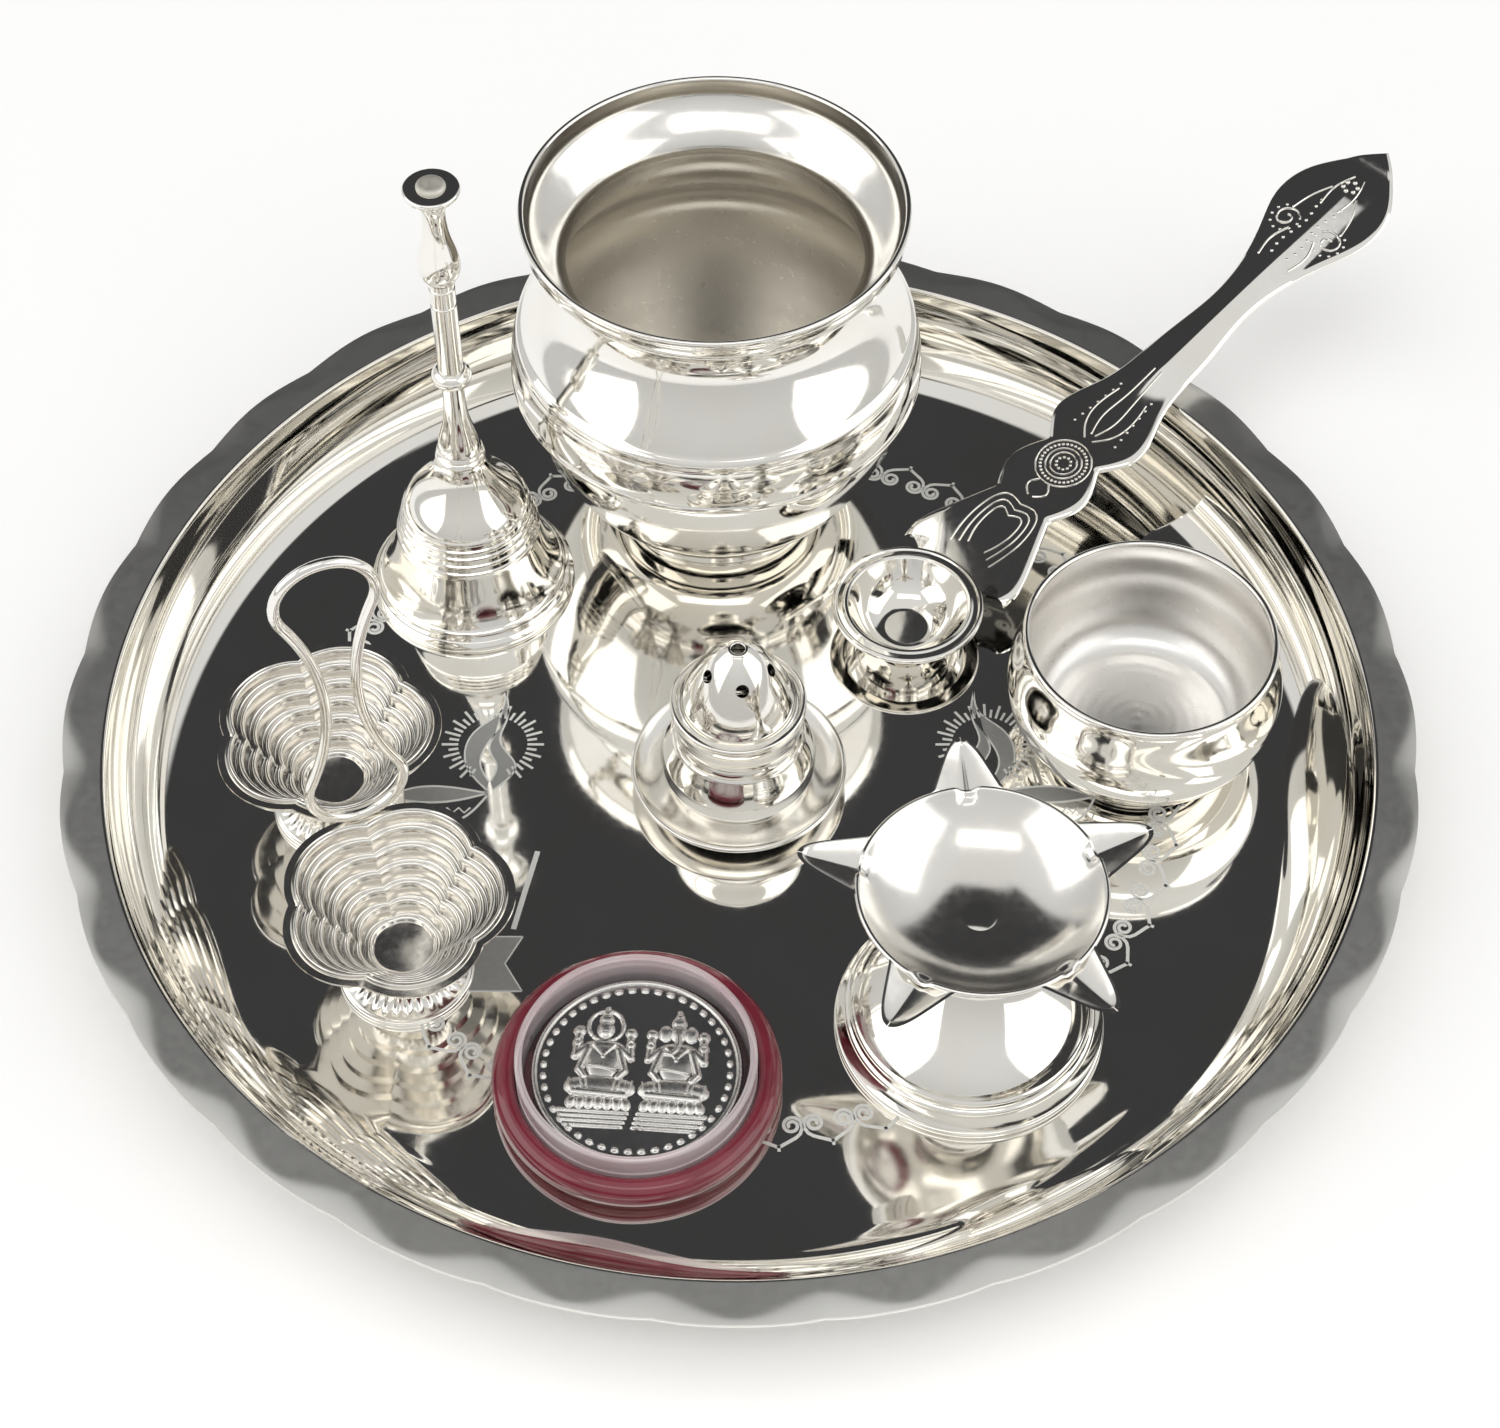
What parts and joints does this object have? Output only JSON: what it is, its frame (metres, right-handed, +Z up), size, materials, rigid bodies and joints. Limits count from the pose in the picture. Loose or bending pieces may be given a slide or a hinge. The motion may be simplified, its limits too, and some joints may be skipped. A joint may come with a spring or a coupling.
{
  "type": "puja thali",
  "caption": "Round scalloped silver-plated tray carrying a water pot, hand bell, kumkum cups, incense holder, aarti spoon, bowl, spouted lamp and a cased coin for ritual use.",
  "frame": {"origin": "middle of the tray's underside", "axes": "+Z up, -Y towards the person who holds the tray, +X to their right"},
  "size_m": [0.2644, 0.2629, 0.1064],
  "materials": {
    "tray_silver": "mirror-polished silver plate",
    "polished_silver": "polished silver plate, satin inside the bowls",
    "rod_metal": "plain steel",
    "coin_silver": "struck silver, frosted relief on a bright field",
    "maroon_plastic": "glossy maroon plastic",
    "clear_plastic": "clear acrylic"
  },
  "bodies": {
    "tray": {"thali_plate": "tray_silver"},
    "lota": {"lota_bowl": "polished_silver", "lota_mouth": "polished_silver", "lota_foot_ring": "polished_silver"},
    "bell": {"bell_skirt": "polished_silver", "bell_handle_cone": "polished_silver", "bell_handle_collar": "polished_silver", "bell_handle_tube": "polished_silver", "bell_handle_finial": "polished_silver", "bell_tie_rod": "rod_metal"},
    "clapper": {"bell_clapper": "rod_metal"},
    "kumkum_stand": {"kumkum_cup_front": "polished_silver", "kumkum_cup_back": "polished_silver", "kumkum_foot_front": "polished_silver", "kumkum_foot_back": "polished_silver", "kumkum_wire_handle": "polished_silver"},
    "incense_holder": {"incense_foot": "polished_silver", "incense_saucer": "polished_silver", "incense_vase": "polished_silver", "incense_rivet": "rod_metal"},
    "incense_cap": {"incense_cap": "polished_silver"},
    "aarti_spoon": {"aarti_cup": "polished_silver", "aarti_handle": "polished_silver"},
    "katori": {"katori_bowl": "polished_silver", "katori_foot_ring": "polished_silver"},
    "diya": {"diya_bowl": "polished_silver", "diya_pedestal": "polished_silver", "diya_rivet": "rod_metal"},
    "coin_holder": {"coin_holder_ring": "maroon_plastic"},
    "capsule": {"capsule_base": "clear_plastic"},
    "capsule_lid": {"capsule_lid": "clear_plastic"},
    "coin": {"coin": "coin_silver"}
  },
  "joints": [
    {"name": "lota_lift", "type": "slide", "parent": "tray", "child": "lota", "axis": [0, 0, 1], "range_m": [0, 0.06]},
    {"name": "bell_lift", "type": "slide", "parent": "tray", "child": "bell", "axis": [-0.1321, -0.0672, 0.9889], "range_m": [0, 0.06]},
    {"name": "clapper_swing", "type": "hinge", "parent": "bell", "child": "clapper", "pos_m": [-0.0539, 0.0475, 0.0318], "axis": [1, 0, 0], "range_deg": [-25, 25]},
    {"name": "kumkum_lift", "type": "slide", "parent": "tray", "child": "kumkum_stand", "axis": [0, 0, 1], "range_m": [0, 0.06]},
    {"name": "incense_lift", "type": "slide", "parent": "tray", "child": "incense_holder", "axis": [0, 0, 1], "range_m": [0, 0.06]},
    {"name": "incense_cap_lift", "type": "slide", "parent": "incense_holder", "child": "incense_cap", "axis": [0, 0, 1], "range_m": [0, 0.03]},
    {"name": "aarti_lift", "type": "slide", "parent": "tray", "child": "aarti_spoon", "axis": [0.1033, -0.1065, 0.9889], "range_m": [0, 0.06]},
    {"name": "katori_lift", "type": "slide", "parent": "tray", "child": "katori", "axis": [0, 0, 1], "range_m": [0, 0.06]},
    {"name": "diya_lift", "type": "slide", "parent": "tray", "child": "diya", "axis": [0, 0, 1], "range_m": [0, 0.06]},
    {"name": "coin_holder_lift", "type": "slide", "parent": "tray", "child": "coin_holder", "axis": [0, 0, 1], "range_m": [0, 0.06]},
    {"name": "capsule_lift", "type": "slide", "parent": "coin_holder", "child": "capsule", "axis": [0, 0, 1], "range_m": [0, 0.02]},
    {"name": "capsule_lid_lift", "type": "slide", "parent": "capsule", "child": "capsule_lid", "axis": [0, 0, 1], "range_m": [0, 0.02]},
    {"name": "coin_lift", "type": "slide", "parent": "capsule", "child": "coin", "axis": [0, 0, 1], "range_m": [0, 0.01]}
  ],
  "couplings": [
    {"joint": "coin_lift", "follows": "capsule_lid_lift", "ratio": 0.5}
  ]
}
